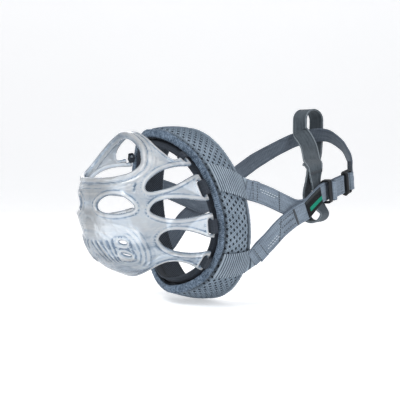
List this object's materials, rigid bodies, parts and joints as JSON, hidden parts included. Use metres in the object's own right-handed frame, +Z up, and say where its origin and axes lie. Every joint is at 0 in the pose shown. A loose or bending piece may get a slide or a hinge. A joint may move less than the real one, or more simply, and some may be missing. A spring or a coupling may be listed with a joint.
{
  "type": "basket muzzle",
  "caption": "Clear moulded basket on a padded oval band with a Y strap, adjustable neck strap and a sewn collar loop.",
  "frame": {"origin": "middle of the bounding box in X and Y, at the lowest point of the band", "axes": "+X to the wearer's left, +Y from the snout towards the neck along the longest extent, +Z up from the chin to the bridge of the nose"},
  "size_m": [0.1238, 0.2554, 0.1529],
  "materials": {
    "silicone": "clear moulded silicone, satin",
    "mesh": "air mesh over padding",
    "padding": "closed foam",
    "lining": "dark knitted lining",
    "webbing": "ribbed flat webbing",
    "dark_webbing": "dark flat webbing",
    "elastic": "ribbed elastic webbing",
    "loop_webbing": "dark grey flat webbing",
    "hardware": "black moulded plastic",
    "label": "woven label, plain with a green band",
    "thread": "sewing thread"
  },
  "bodies": {
    "muzzle": {"silicone_basket": "silicone", "tab_loop_top_left": "dark_webbing", "tab_loop_top_right": "dark_webbing", "tab_loop_upper_left": "dark_webbing", "tab_loop_upper_right": "dark_webbing", "tab_loop_lower_left": "dark_webbing", "tab_loop_lower_right": "dark_webbing", "tab_loop_bottom_left": "dark_webbing", "tab_loop_bottom_right": "dark_webbing", "rim_webbing": "dark_webbing", "front_hem_binding": "webbing", "band_mesh_cover": "mesh", "band_foam_core": "padding", "band_lining": "lining", "rear_edge_binding": "lining", "elastic_anchor_upper_left": "elastic", "elastic_anchor_upper_right": "elastic", "elastic_anchor_lower_left": "elastic", "elastic_anchor_lower_right": "elastic", "y_strap_upper_left": "webbing", "y_strap_upper_right": "webbing", "y_strap_lower_left": "webbing", "y_strap_lower_right": "webbing", "bar_tack_left": "thread", "bar_tack_right": "thread"},
    "neck_strap": {"neck_strap_left": "webbing", "neck_strap_right": "webbing", "neck_strap_doubled_run": "webbing", "joining_ring": "hardware", "left_end_fold": "webbing", "right_end_fold": "webbing", "webbing_end_tab": "dark_webbing", "collar_loop_strip": "loop_webbing", "collar_loop_bar_tack": "thread", "woven_label": "label"},
    "adjuster": {"adjuster_slide": "hardware"}
  },
  "joints": [
    {"name": "neck_strap_pivot", "type": "hinge", "parent": "muzzle", "child": "neck_strap", "pos_m": [-0.00049, 0.02285, 0.06772], "axis": [1, 0, 0], "range_deg": [-25, 30]},
    {"name": "adjuster_slide_along_strap", "type": "slide", "parent": "neck_strap", "child": "adjuster", "axis": [-0.3181, 0.932, 0.174], "range_m": [0, 0.022]}
  ]
}
